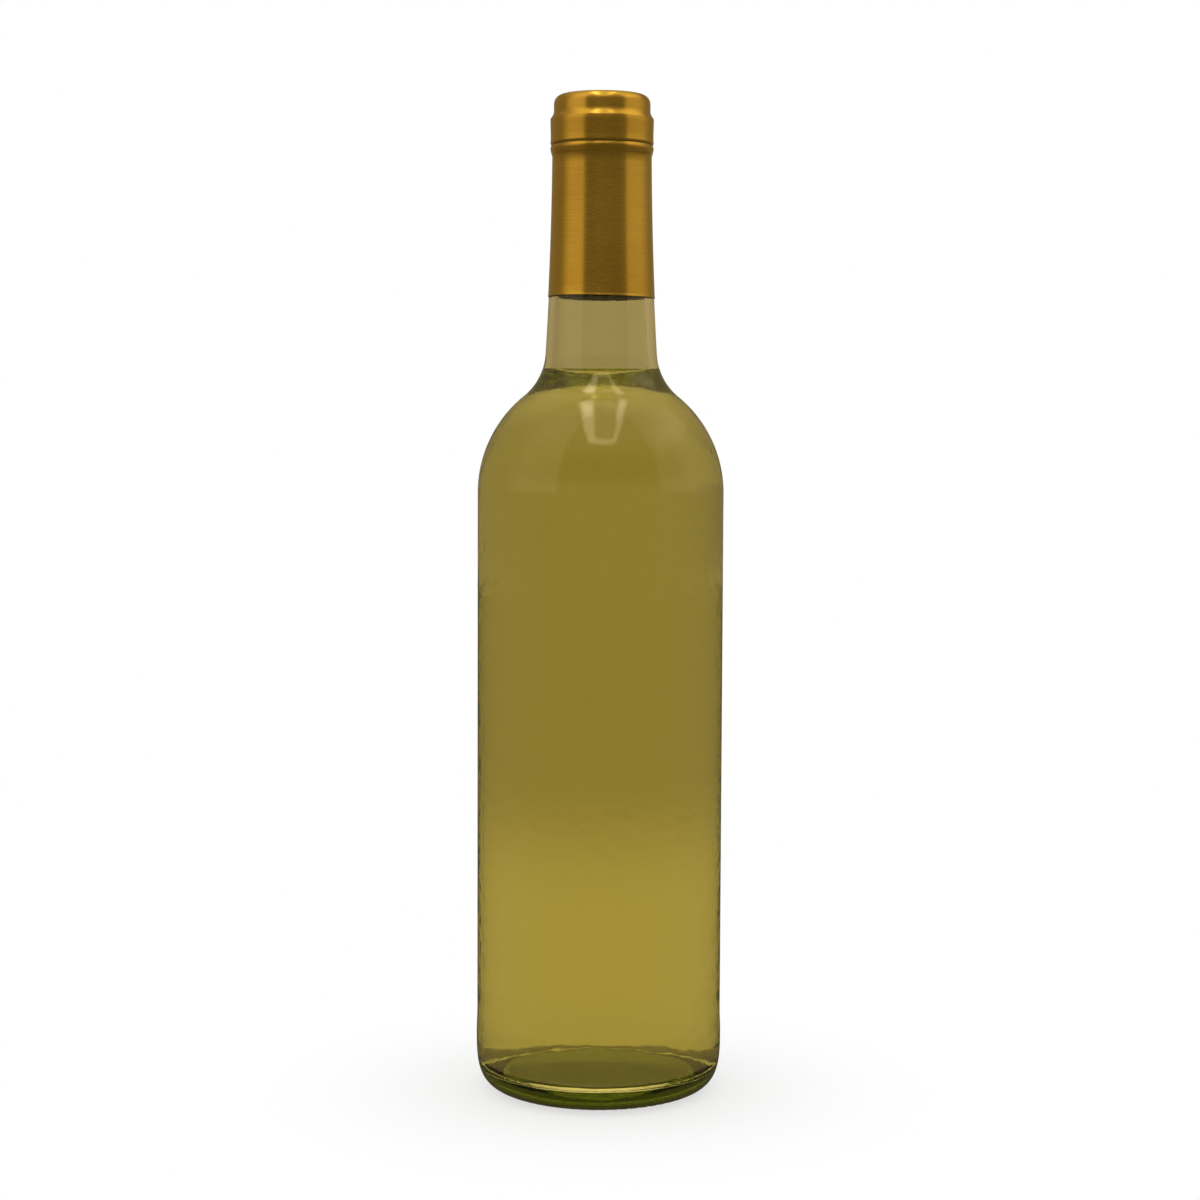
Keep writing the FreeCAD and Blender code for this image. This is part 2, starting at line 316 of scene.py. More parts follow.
class Section:
    """Key points of the bottle's section, worked out from its sizes and the frame."""

    def __init__(self, shape):
        self.shape = shape
        self.glass_height = BOTTLE_HIGH.z
        self.body_radius = BOTTLE_HIGH.x - shape.band_proud
        self.inside = self.body_radius - shape.wall
        foot = (shape.neck_foot_radius, shape.side_height + shape.neck_foot_rise)
        self.ring_top = self.glass_height - shape.lip_height - shape.cove_height
        self.ring_bottom = self.ring_top - shape.ring_height
        slope = math.atan(shape.neck_foot_taper)
        rise = self.ring_bottom - shape.ring_undercut - foot[1]
        run = shape.neck_top_radius - foot[0]
        outward = run * math.cos(slope) + rise * math.sin(slope)
        self.neck_radius = (run ** 2 + rise ** 2) / (2 * outward)
        self.neck = (
            foot[0] + self.neck_radius * math.cos(slope),
            foot[1] + self.neck_radius * math.sin(slope),
        )
        self.shoulder = (self.body_radius - shape.shoulder_radius, shape.side_height)
        self.flare = meet(
            self.shoulder, shape.shoulder_radius + shape.flare_radius,
            self.neck, self.neck_radius - shape.flare_radius,
        )
        self.dome = (0.0, shape.punt_height - shape.punt_dome_radius)
        self.outline = [(self.body_radius, shape.band_top)] + self.side(0.0)

    def neck_at(self, height, proud=0.0):
        """The neck's point at a height, on its surface or proud of it."""
        reach = math.sqrt((self.neck_radius - proud) ** 2 - (height - self.neck[1]) ** 2)
        return (self.neck[0] - reach, height)

    def underside_stand(self):
        """Outer radius of the flat standing ring."""
        return self.body_radius + self.shape.band_proud - self.shape.heel_width

    def outer_radius(self, height):
        """Radius of the glass's outer surface between the heel and the finish."""
        for (r0, z0), (r1, z1) in zip(self.outline, self.outline[1:]):
            if z0 <= height <= z1:
                return r0 + (r1 - r0) * (height - z0) / max(z1 - z0, POINT_MERGE)
        return self.neck_at(height)[0]

    def side(self, inset):
        """Shoulder and flare at a depth below the outer surface, from the side to the neck."""
        start = (self.body_radius - inset, self.shape.side_height)
        turn = toward(self.shoulder, self.flare, self.shape.shoulder_radius - inset)
        end = toward(self.neck, self.flare, self.neck_radius + inset)
        return [start] + arc(self.shoulder, start, turn) + arc(self.flare, turn, end)

    def underside(self):
        """Underside of the base from the punt's middle out and up to the side."""
        shape = self.shape
        band = self.body_radius + shape.band_proud
        stand = (band - shape.heel_width, 0.0)
        ring = (stand[0] - shape.stand_width, shape.stand_round)
        corner = meet(
            self.dome, shape.punt_dome_radius - shape.punt_corner,
            ring, shape.stand_round + shape.punt_corner,
        )
        top = (0.0, shape.punt_height)
        dome_edge = toward(self.dome, corner, shape.punt_dome_radius)
        ring_inside = toward(ring, corner, shape.stand_round)
        heel_top = (band, shape.heel_height)
        heel = [
            stand, (stand[0] + shape.heel_flatness, 0.0),
            (band, shape.heel_height - shape.heel_steepness), heel_top,
        ]
        return (
            [top] + arc(self.dome, top, dome_edge) + arc(corner, dome_edge, ring_inside)
            + arc(ring, ring_inside, (ring[0], 0.0)) + [stand] + curve(heel, 36)
            + curve([
                heel_top, (band, shape.band_top), (self.body_radius, shape.band_top),
                (self.body_radius, shape.band_top + shape.band_fade)], 8)
        )

    def floor(self, sink=0.0):
        """Floor inside, from its middle out to the wall. sink moves it into the glass."""
        shape = self.shape
        dome_radius = shape.punt_dome_radius + shape.dome_wall - sink
        gutter_radius = shape.gutter_radius + sink
        shoulder_radius = shape.dome_shoulder - sink
        gutter = (self.inside - shape.gutter_radius, WINE_LOW.z + shape.gutter_radius)
        corner = meet(
            self.dome, dome_radius - shoulder_radius,
            gutter, gutter_radius + shoulder_radius,
        )
        top = (0.0, self.dome[1] + dome_radius)
        dome_edge = toward(self.dome, corner, dome_radius)
        gutter_inside = toward(gutter, corner, gutter_radius)
        bottom = (gutter[0], gutter[1] - gutter_radius)
        wall_foot = (gutter[0] + gutter_radius, gutter[1])
        return (
            [top] + arc(self.dome, top, dome_edge) + arc(corner, dome_edge, gutter_inside)
            + arc(gutter, gutter_inside, bottom) + arc(gutter, bottom, wall_foot)
        )

    def finish(self, proud=0.0):
        """Ring and lip, from under the ring to the edge of the flat top."""
        shape = self.shape
        lip = shape.lip_radius + proud
        centre = (shape.lip_radius - shape.lip_round, self.glass_height - shape.lip_round)
        step = shape.ring_radius - shape.lip_radius
        cove_radius = (step ** 2 + shape.cove_height ** 2) / (2 * step)
        cove_top = (lip, self.glass_height - shape.lip_height)
        ring_top = (shape.ring_radius + proud, self.ring_top)
        return [
            self.neck_at(self.ring_bottom - shape.ring_undercut, proud),
            (shape.ring_radius + proud, self.ring_bottom),
            (ring_top[0], ring_top[1] - shape.edge_round),
            (ring_top[0] - 0.3 * shape.edge_round, ring_top[1] - 0.3 * shape.edge_round),
        ] + arc(
            (lip + cove_radius, cove_top[1]),
            (ring_top[0] - shape.edge_round, ring_top[1] + shape.edge_round), cove_top,
        ) + [(lip, centre[1])] + arc(centre, (lip, centre[1]), (centre[0], self.glass_height + proud))

    def bore(self):
        """The mouth's bore from the top down to the neck's inner wall."""
        shape = self.shape
        end = (shape.bore_radius + shape.bore_growth, self.glass_height - shape.bore_length)
        eased = self.neck_at(end[1] - shape.bore_ease, -shape.wall)
        steps = 12
        points = [(shape.bore_radius, self.glass_height), end]
        for i in range(1, steps + 1):
            share = i / steps
            blend = share * share * (3 - 2 * share)
            points.append((end[0] + (eased[0] - end[0]) * blend, end[1] + (eased[1] - end[1]) * share))
        return points


# ---------------------------------------------------------------- modelling by hand


def draw_section(name, points):
    """A chain of edges in the plane y = 0, extruded point by point from a single vertex."""
    deselect_all()
    bpy.ops.mesh.primitive_plane_add(size=MM, location=(0, 0, 0))
    piece = bpy.context.object
    piece.name = piece.data.name = name
    bpy.ops.object.mode_set(mode="EDIT")
    bpy.ops.mesh.select_all(action="SELECT")
    bpy.ops.mesh.merge(type="CENTER")
    bpy.ops.transform.translate(value=(points[0][0], 0, points[0][1]))
    for last, point in zip(points, points[1:]):
        step = (point[0] - last[0], 0, point[1] - last[1])
        bpy.ops.mesh.extrude_vertices_move(TRANSFORM_OT_translate={"value": step})
    return piece


def turn_section(piece):
    """Spins the open section about Z, closes its seam and poles and turns the faces outwards."""
    bpy.ops.mesh.select_all(action="SELECT")
    bpy.ops.mesh.spin(
        steps=TURN_STEPS, angle=2 * math.pi, center=(0, 0, 0), axis=(0, 0, 1), use_auto_merge=True)
    bpy.ops.mesh.select_all(action="SELECT")
    bpy.ops.mesh.remove_doubles(threshold=POINT_MERGE)
    bpy.ops.mesh.normals_make_consistent(inside=False)
    bpy.ops.mesh.select_mode(type="VERT")
    bpy.ops.mesh.select_all(action="DESELECT")
    bpy.ops.object.mode_set(mode="OBJECT")
    return piece


def move_where(piece, test, step):
    """Moves the vertices whose place passes the test."""
    for vertex in piece.data.vertices:
        vertex.select = test(vertex.co)
    bpy.ops.object.mode_set(mode="EDIT")
    bpy.ops.transform.translate(value=step)
    bpy.ops.object.mode_set(mode="OBJECT")


def column_at(place):
    """Number of the spin step that a vertex belongs to."""
    return round(math.atan2(place.y, place.x) / (2 * math.pi) * TURN_STEPS) % TURN_STEPS


def finish_piece(piece, node, material, smooth_angle=40):
    """Shading, material and the piece's place in the frame."""
    deselect_all()
    piece.select_set(True)
    bpy.context.view_layer.objects.active = piece
    bpy.ops.object.transform_apply(location=True, rotation=True, scale=True)
    bpy.ops.object.shade_smooth_by_angle(angle=math.radians(smooth_angle))
    piece.data.materials.clear()
    piece.data.materials.append(material)
    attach(piece, "root")
    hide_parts(node)
    return piece


# ---------------------------------------------------------------- materials


def absorb(tree, output, through, depth):
    """Volume absorption that lets the share through over the depth, in each colour."""
    per_metre = [-math.log(max(share, 0.001)) / depth for share in through]
    density = 1.05 * max(per_metre)
    colour = [1 - value / density for value in per_metre]
    volume = add_node(tree, "ShaderNodeVolumeAbsorption",
                      {"Color": colour + [1.0], "Density": density})
    tree.links.new(volume.outputs["Volume"], output.inputs["Volume"])


def bottle_glass(shape, finish):
    """Soda-lime container glass in a dead-leaf olive, blown in a mould and fire-polished.

    The eye gets a clear, deep-edged wall whose skin is very slightly wavy from
    the mould, with long shallow streaks drawn down the side.
    """
    material, tree, output = new_material("olive_bottle_glass")
    place = add_node(tree, "ShaderNodeTexCoord").outputs["Object"]
    drawn = add_node(tree, "ShaderNodeMapping", {
        "Vector": place, "Scale": (1 / STREAK_WIDTH, 1 / STREAK_WIDTH, 1 / STREAK_LENGTH)})
    streaks = add_node(tree, "ShaderNodeTexNoise", {
        "Vector": drawn.outputs["Vector"], "Scale": 1.0, "Detail": 2.0, "Roughness": 0.4})
    ripples = add_node(tree, "ShaderNodeTexNoise", {
        "Vector": place, "Scale": 1 / RIPPLE_SIZE, "Detail": 1.0, "Roughness": 0.3})
    waves = add_node(tree, "ShaderNodeMath", {
        0: streaks.outputs["Fac"], 1: ripples.outputs["Fac"]}, operation="ADD")
    wavy = add_node(tree, "ShaderNodeBump", {
        "Height": waves.outputs["Value"], "Strength": 1.0, "Distance": RIPPLE_DEPTH})
    pebbles = add_node(tree, "ShaderNodeTexNoise", {
        "Vector": place, "Scale": 1 / PEBBLE_SIZE, "Detail": 1.0})
    uneven = add_node(tree, "ShaderNodeBump", {
        "Height": pebbles.outputs["Fac"], "Strength": 1.0, "Distance": PEBBLE_DEPTH,
        "Normal": wavy.outputs["Normal"]})
    skin = [share ** TINT_IN_SKIN for share in finish.glass_through] + [1.0]
    depth = [share ** (1 - TINT_IN_SKIN) for share in finish.glass_through]
    shader = add_node(tree, "ShaderNodeBsdfPrincipled", {
        "Base Color": skin, "Roughness": 0.0, "IOR": 1.52, "Transmission Weight": 1.0,
        "Normal": uneven.outputs["Normal"]})
    tree.links.new(shader.outputs["BSDF"], output.inputs["Surface"])
    absorb(tree, output, depth, shape.wall)
    return material


def white_wine(section, finish):
    """Dry white wine: a clear, pale gold liquid with a smooth, still surface."""
    material, tree, output = new_material("white_wine_liquid")
    shader = add_node(tree, "ShaderNodeBsdfPrincipled", {
        "Base Color": (1, 1, 1, 1), "Roughness": 0.0, "IOR": 1.345, "Transmission Weight": 1.0})
    tree.links.new(shader.outputs["BSDF"], output.inputs["Surface"])
    absorb(tree, output, finish.wine_through, 2 * section.inside)
    return material


def gold_foil(finish):
    """Tin foil capsule with a gold lacquer, spun onto the neck by rollers.

    The eye gets a satin metal whose reflections are drawn out along the rollers'
    path, with a few fine level scratches and a lacquer a little uneven in tone.
    """
    material, tree, output = new_material("gold_lacquered_foil")
    place = add_node(tree, "ShaderNodeTexCoord").outputs["Object"]
    level = add_node(tree, "ShaderNodeMapping", {
        "Vector": place, "Scale": (1 / SCRATCH_LENGTH, 1 / SCRATCH_LENGTH, 1 / SCRATCH_PITCH)})
    scratches = add_node(tree, "ShaderNodeTexNoise", {
        "Vector": level.outputs["Vector"], "Scale": 1.0, "Detail": 3.0, "Roughness": 0.6})
    patches = add_node(tree, "ShaderNodeTexNoise", {
        "Vector": place, "Scale": 1 / LACQUER_PATCH, "Detail": 2.0})
    colour = add_node(tree, "ShaderNodeValToRGB", {"Fac": patches.outputs["Fac"]})
    colour.color_ramp.elements[0].position = 0.35
    colour.color_ramp.elements[0].color = linear(finish.foil_dark)
    colour.color_ramp.elements[1].position = 0.65
    colour.color_ramp.elements[1].color = linear(finish.foil_colour)
    sheen = add_node(tree, "ShaderNodeMapRange", {
        "Value": scratches.outputs["Fac"], "From Min": 0.35, "From Max": 0.65,
        "To Min": 0.25, "To Max": 0.31})
    deep = add_node(tree, "ShaderNodeMapRange", {
        "Value": scratches.outputs["Fac"], "From Min": 0.6, "From Max": 0.75})
    worn = add_node(tree, "ShaderNodeBump", {
        "Height": deep.outputs["Result"], "Strength": 0.3, "Distance": SCRATCH_DEPTH})
    round_axis = add_node(tree, "ShaderNodeTangent", direction_type="RADIAL", axis="Z")
    shader = add_node(tree, "ShaderNodeBsdfPrincipled", {
        "Base Color": colour.outputs["Color"], "Metallic": 1.0,
        "Roughness": sheen.outputs["Result"], "Normal": worn.outputs["Normal"],
        "Anisotropic": 0.8, "Anisotropic Rotation": 0.25, "Tangent": round_axis.outputs["Tangent"]})
    tree.links.new(shader.outputs["BSDF"], output.inputs["Surface"])
    return material


def painted_shade_liner():
    """Painted shade: a dull, nearly black coat on the inner side of the foil, standing in for the shade
    inside the capsule.
    """
    material, tree, output = new_material("painted_shade_foil_lining")
    place = add_node(tree, "ShaderNodeTexCoord").outputs["Object"]
    grain = add_node(tree, "ShaderNodeTexNoise", {"Vector": place, "Scale": 1 / LACQUER_PATCH})
    colour = add_node(tree, "ShaderNodeValToRGB", {"Fac": grain.outputs["Fac"]})
    # nearly black browns: painted shade for the capsule's unlit inside
    colour.color_ramp.elements[0].color = linear("140A02")
    colour.color_ramp.elements[1].color = linear("1C1004")
    shader = add_node(tree, "ShaderNodeBsdfPrincipled", {
        "Base Color": colour.outputs["Color"], "Roughness": 0.6})
    tree.links.new(shader.outputs["BSDF"], output.inputs["Surface"])
    return material


# ---------------------------------------------------------------- operators


class AddGlassBottle(bpy.types.Operator):
    """Turn the hollow glass bottle with its punt, shoulder, neck and finish"""

    bl_idname = "bottle.add_glass"
    bl_label = "Glass Bottle"

    def execute(self, context):
        shape = context.scene.bottle_shape
        section = Section(shape)
        points = section.underside() + section.side(0.0)
        neck_start = points[-1][1]
        neck_end = section.ring_bottom - shape.ring_undercut
        for i in range(1, NECK_STEPS):
            height = neck_start + (neck_end - neck_start) * i / NECK_STEPS
            points.append(section.neck_at(height))
        points += section.finish() + section.bore()
        inner = section.side(shape.wall)
        low, high = inner[-1][1], points[-1][1]
        for i in range(1, NECK_STEPS):
            height = high + (low - high) * i / NECK_STEPS
            points.append(section.neck_at(height, -shape.wall))
        points += inner[::-1] + section.floor()[::-1]
        piece = turn_section(draw_section("glass_bottle", points))
        self.press_knurls(piece, section)
        self.raise_seams(piece, section)
        finish_piece(piece, "bottle", bottle_glass(shape, context.scene.bottle_finish))
        return {"FINISHED"}

    def press_knurls(self, piece, section):
        """Dimples in rows of chequers round the outer part of the standing ring."""
        inner = section.underside_stand() + KNURL_START
        outer = inner + KNURL_SPAN

        def dimple(place):
            radius = math.hypot(place.x, place.y)
            if place.z > KNURL_LIMIT or not inner < radius < outer:
                return False
            row = int((radius - inner) / (outer - inner) * KNURL_ROWS)
            return (column_at(place) // 2 + row) % 2 == 0

        move_where(piece, dimple, (0, 0, KNURL_DEPTH))

    def raise_seams(self, piece, section):
        """The mould's parting line, a hair-thin ridge up two sides from heel to neck."""
        for column in SEAM_COLUMNS:
            angle = column / TURN_STEPS * 2 * math.pi

            def on_seam(place):
                radius = math.hypot(place.x, place.y)
                return (column_at(place) == column
                        and section.shape.band_top < place.z < CAPSULE_LOW.z
                        and radius > section.outer_radius(place.z) - 0.3 * MM)

            step = (SEAM_PROUD * math.cos(angle), SEAM_PROUD * math.sin(angle), 0)
            move_where(piece, on_seam, step)


class AddWine(bpy.types.Operator):
    """Fill the bottle with wine that reaches just into the glass"""

    bl_idname = "bottle.add_wine"
    bl_label = "Wine"

    def execute(self, context):
        shape = context.scene.bottle_shape
        section = Section(shape)
        level = WINE_HIGH.z
        inset = shape.wall - WINE_OVERLAP
        side = [point for point in section.side(inset) if point[1] < level]
        edge = section.flare
        reach = shape.flare_radius + inset
        radius_at = edge[0] - math.sqrt(reach ** 2 - (level - edge[1]) ** 2)
        points = section.floor(WINE_OVERLAP) + side + [(radius_at, level)]
        surface = 8
        for i in range(1, surface + 1):
            share = i / surface
            points.append((
                radius_at - WINE_OVERLAP - 3 * shape.meniscus * share,
                level - shape.meniscus * (1 - (1 - share) ** 3)))
        points.append((0.0, level - shape.meniscus))
        piece = turn_section(draw_section("wine_fill", points))
        finish_piece(piece, "wine", white_wine(section, context.scene.bottle_finish))
        return {"FINISHED"}


class AddCapsule(bpy.types.Operator):
    """Press the foil capsule over the lip, the ring and the neck"""

    bl_idname = "bottle.add_capsule"
    bl_label = "Foil Capsule"

    def execute(self, context):
        shape = context.scene.bottle_shape
        section = Section(shape)
        foil = shape.foil
        bottom = CAPSULE_LOW.z
        steps = 16
        clear = 0.02 * MM
        inner_top = section.ring_bottom - shape.ring_undercut
        inner = [section.neck_at(bottom + (inner_top - bottom) * i / steps, clear)
                 for i in range(steps)]
        inner += section.finish(clear) + [(0.0, section.glass_height + clear)]
        bead_low = section.ring_bottom - shape.bead_width
        skirt_top = bead_low - 2.6 * MM
        rim = bottom + 0.3 * MM
        outer = [
            section.neck_at(bottom, foil - 0.08 * MM),
            section.neck_at(bottom + 0.06 * MM, foil),
            section.neck_at(rim, foil),
            section.neck_at(rim + 0.15 * MM, foil - 0.07 * MM),
        ]
        skirt = rim + 1 * MM
        outer += [
            section.neck_at(skirt + (skirt_top - skirt) * i / steps, foil - 0.05 * MM)
            for i in range(steps + 1)]
        outer += self.bead(section, foil, bead_low) + section.finish(foil)[2:]
        outer.append((0.0, section.glass_height + foil))
        points = inner + outer[::-1] + [inner[0]]
        piece = turn_section(draw_section("foil_capsule", points))
        self.skew_rim(piece, bottom)
        finish_piece(piece, "capsule", gold_foil(context.scene.bottle_finish), 30)
        self.paint_shade_inside(piece, section)
        return {"FINISHED"}

    def bead(self, section, foil, low):
        """The bead at the foot of the ring and the pressed crease above it."""
        radius = section.shape.ring_radius + foil
        base = section.ring_bottom
        waist = radius - 0.1 * MM
        crease = radius - 0.28 * MM
        return [
            (radius - 0.42 * MM, base - 2.9 * MM),
            (radius - 0.3 * MM, base - 2.4 * MM),
            (radius - 0.12 * MM, base - 1.7 * MM),
            (radius - 0.03 * MM, base - 1.25 * MM),
            (radius, base - 0.95 * MM),
            (radius - 0.06 * MM, base - 0.7 * MM),
            (crease + 0.03 * MM, base - 0.25 * MM),
            (crease, base - 0.1 * MM),
            (crease + 0.03 * MM, base + 0.1 * MM),
            (radius - 0.07 * MM, base + 0.5 * MM),
            (radius - 0.01 * MM, base + 0.72 * MM),
            (radius - 0.03 * MM, base + 0.95 * MM),
            (waist, base + 1.6 * MM),
            (waist, base + 3.0 * MM),
            (radius, section.ring_top - 1.5 * MM),
        ]

    def paint_shade_inside(self, piece, section):
        """The side that lies on the glass gets the dark lining of painted shade."""
        piece.data.materials.append(painted_shade_liner())
        for face in piece.data.polygons:
            centre = face.center
            below_bore = centre.z < section.glass_height - section.shape.lip_round
            outward = face.normal.x * centre.x + face.normal.y * centre.y
            if (below_bore and outward < 0) or (not below_bore and face.normal.z < 0):
                face.material_index = 1

    def skew_rim(self, piece, bottom):
        """The capsule's cut edge runs a little out of level round the neck."""
        for vertex in piece.data.vertices:
            if vertex.co.z < bottom + 0.6 * MM:
                turn = math.atan2(vertex.co.y, vertex.co.x)
                tilt = 2 * math.cos(turn) + 1.5 * math.sin(turn)
                vertex.co.z += 0.1 * MM * (4.5 + math.sin(2 * turn + 0.6) - tilt)


class AddStudio(bpy.types.Operator):
    """Set up the floor, the surroundings that light the scene, and the camera"""

    bl_idname = "bottle.add_studio"
    bl_label = "Studio"

    # Bright panels in the tent's ceiling: x and y spans over the height above, and level.
    CEILING_PANELS = (
        ((-0.245, -0.095), (-0.25, 0.12), 3.6),
        ((-0.26, -0.10), (-0.90, -0.25), 2.0),
        ((0.20, 0.285), (-0.25, 0.2), 2.4),
        ((0.22, 0.31), (-0.90, -0.25), 1.7),
        ((-0.10, 0.22), (-0.93, -0.77), 1.7),
        ((-0.10, 0.20), (-0.77, 0.10), 0.35),
    )
    # Paler stretches of the tent's wall: where they start and end from the front, in
    # degrees, how softly, and their level.
    WALL_PANELS = (
        (-90, 16, -41, 2, 0.56),
        (58, 2, 116, 24, 0.42),
    )

    def execute(self, context):
        scene = context.scene
        scene.view_settings.view_transform = "Standard"
        scene.cycles.max_bounces = 48
        scene.cycles.transmission_bounces = 48
        scene.cycles.glossy_bounces = 16
        scene.cycles.diffuse_bounces = 4
        self.add_floor()
        self.add_surroundings(scene)
        self.add_camera(scene)
        return {"FINISHED"}

    def add_floor(self):
        """A matt white board. It glows a little, so that only a soft contact shadow is left. Seen
        through glass it glows brighter near the bottle and brightest under it, a painted pool of light;
        in reflections and bounces it is a dim brown, a painted reflection of shade.
        """
        deselect_all()
        bpy.ops.mesh.primitive_circle_add(vertices=128, radius=FLOOR_RADIUS, fill_type="NGON")
        floor = bpy.context.object
        floor.name = floor.data.name = "studio_floor"
        bpy.ops.object.mode_set(mode="EDIT")
        bpy.ops.mesh.select_all(action="SELECT")
        bpy.ops.mesh.inset(thickness=FLOOR_RADIUS / 2)
        bpy.ops.object.mode_set(mode="OBJECT")
        material, tree, output = new_material("matt_white_board")
        place = add_node(tree, "ShaderNodeTexCoord")
        distance = add_node(
            tree, "ShaderNodeVectorMath", {0: place.outputs["Object"]}, operation="LENGTH")
        # painted pool of light: the floor glows brighter close to the bottle and under it, as glass
        # shows it
        far = add_node(tree, "ShaderNodeMapRange", {
            "Value": distance.outputs["Value"], "From Min": 0.25, "From Max": 0.6,
            "To Min": PAINTED_GLOW_BEHIND, "To Max": 1.0}, interpolation_type="SMOOTHSTEP")
        under = add_node(tree, "ShaderNodeMapRange", {
            "Value": distance.outputs["Value"], "From Min": 0.03, "From Max": 0.05,
            "To Min": PAINTED_GLOW_UNDER, "To Max": 1.0}, interpolation_type="SMOOTHSTEP")
        lit = add_node(tree, "ShaderNodeMath", {
            0: far.outputs["Result"], 1: under.outputs["Result"]}, operation="MULTIPLY")
        beige = add_node(tree, "ShaderNodeVectorMath", {
            0: TENT_BEIGE, "Scale": lit.outputs["Value"]}, operation="SCALE")
        ray = add_node(tree, "ShaderNodeLightPath")
        # mirrors and bounces see only a dim brown here, a painted reflection of shade; the camera sees
        # white
        through = add_node(tree, "ShaderNodeMix", {
            0: ray.outputs["Is Transmission Ray"], 6: (0.1, 0.085, 0.05, 1),
            7: beige.outputs["Vector"]}, data_type="RGBA")
        seen = add_node(tree, "ShaderNodeMix", {
            0: ray.outputs["Is Camera Ray"], 6: through.outputs[2], 7: (1, 1, 1, 1)},
            data_type="RGBA")
        glow = add_node(tree, "ShaderNodeEmission", {"Color": seen.outputs[2], "Strength": 1.0})
        matt = add_node(tree, "ShaderNodeBsdfDiffuse", {"Color": linear("FAFAF8")})
        shaded = add_node(tree, "ShaderNodeMapRange", {
            "Value": distance.outputs["Value"], "From Min": 0.03, "From Max": SHADOW_REACH,
            "To Min": 1 - SHADOW_DEPTH, "To Max": 1.0}, interpolation_type="SMOOTHSTEP")
        only_seen = add_node(tree, "ShaderNodeMix", {
            "Factor": ray.outputs["Is Camera Ray"], "A": 1.0, "B": shaded.outputs["Result"]},
            data_type="FLOAT")
        both = add_node(tree, "ShaderNodeMixShader", {
            "Fac": only_seen.outputs["Result"], 1: matt.outputs["BSDF"], 2: glow.outputs["Emission"]})
        tree.links.new(both.outputs["Shader"], output.inputs["Surface"])
        floor.data.materials.append(material)

    def add_surroundings(self, scene):
        """White for the camera, plain light for the floor, and a light tent for glass and metal."""
        world = bpy.data.worlds.new("light_tent")
        world.use_nodes = True
        scene.world = world
        tree = world.node_tree
        tree.nodes.clear()
        ray = add_node(tree, "ShaderNodeLightPath")
        place = add_node(tree, "ShaderNodeTexCoord")
        split = add_node(tree, "ShaderNodeSeparateXYZ", {"Vector": place.outputs["Generated"]})
        ceiling = self.ceiling(tree, split)
        walls = add_node(tree, "ShaderNodeVectorMath", {
            0: WALL_WARMTH, "Scale": self.walls(tree, split)}, operation="SCALE")
        lamps = add_node(tree, "ShaderNodeVectorMath", {
            0: LAMP_WARMTH, "Scale": ceiling}, operation="SCALE")
        behind = add_node(tree, "ShaderNodeMath", {
            0: self.seen_through(tree, split), 1: ceiling}, operation="ADD")
        mirror = add_node(tree, "ShaderNodeVectorMath", {
            0: walls.outputs["Vector"], 1: lamps.outputs["Vector"]}, operation="ADD")
        beige = add_node(tree, "ShaderNodeVectorMath", {
            0: TENT_BEIGE, "Scale": behind.outputs["Value"]}, operation="SCALE")
        matt = add_node(tree, "ShaderNodeMix", {
            0: ray.outputs["Is Glossy Ray"], 6: (1, 1, 1, 1), 7: mirror.outputs["Vector"]},
            data_type="RGBA")
        through = add_node(tree, "ShaderNodeMix", {
            0: ray.outputs["Is Transmission Ray"], 6: matt.outputs[2], 7: beige.outputs["Vector"]},
            data_type="RGBA")
        seen = add_node(tree, "ShaderNodeMix", {
            0: ray.outputs["Is Camera Ray"], 6: through.outputs[2], 7: (1, 1, 1, 1)},
            data_type="RGBA")
        back = add_node(tree, "ShaderNodeBackground", {"Color": seen.outputs[2], "Strength": 1.0})
        output = add_node(tree, "ShaderNodeOutputWorld")
        tree.links.new(back.outputs["Background"], output.inputs["Surface"])

    def window(self, tree, value, start, start_edge, end, end_edge):
        """1 between start and end and 0 outside, with a soft edge of its own at each end."""
        rising = add_node(tree, "ShaderNodeMapRange", {
            "Value": value, "From Min": start - start_edge, "From Max": start + start_edge},
            interpolation_type="SMOOTHSTEP")
        falling = add_node(tree, "ShaderNodeMapRange", {
            "Value": value, "From Min": end - end_edge, "From Max": end + end_edge,
            "To Min": 1.0, "To Max": 0.0}, interpolation_type="SMOOTHSTEP")
        return add_node(tree, "ShaderNodeMath", {
            0: rising.outputs["Result"], 1: falling.outputs["Result"]},
            operation="MULTIPLY").outputs["Value"]

    def total(self, tree, terms, operation="ADD"):
        """Sum, or product, of several values."""
        result = terms[0]
        for term in terms[1:]:
            result = add_node(tree, "ShaderNodeMath", {0: result, 1: term},
                              operation=operation).outputs["Value"]
        return result

    def ceiling(self, tree, split):
        """The tent's ceiling with its bright panels, laid out on a level plane above."""
        height = add_node(tree, "ShaderNodeMath", {0: split.outputs["Z"], 1: 0.05}, operation="MAXIMUM")
        across = add_node(tree, "ShaderNodeMath", {
            0: split.outputs["X"], 1: height.outputs["Value"]}, operation="DIVIDE").outputs["Value"]
        along = add_node(tree, "ShaderNodeMath", {
            0: split.outputs["Y"], 1: height.outputs["Value"]}, operation="DIVIDE").outputs["Value"]
        terms = []
        for (left, right), (front, back), level in self.CEILING_PANELS:
            edge = PANEL_EDGE
            terms.append(self.total(tree, [
                self.window(tree, across, left, edge, right, edge),
                self.window(tree, along, front, edge, back, edge), level], "MULTIPLY"))
        tilt = add_node(tree, "ShaderNodeMath", {
            0: split.outputs["Z"], 1: split.outputs["X"]}, operation="ARCTAN2").outputs["Value"]
        terms.append(self.total(tree, [
            self.window(tree, tilt, *(math.radians(angle) for angle in (34, 8, 50, 8))),
            self.window(tree, split.outputs["Y"], -0.3, 0.15, 0.5, 0.15),
            SIDE_PANEL_LEVEL], "MULTIPLY"))
        return self.total(tree, terms)

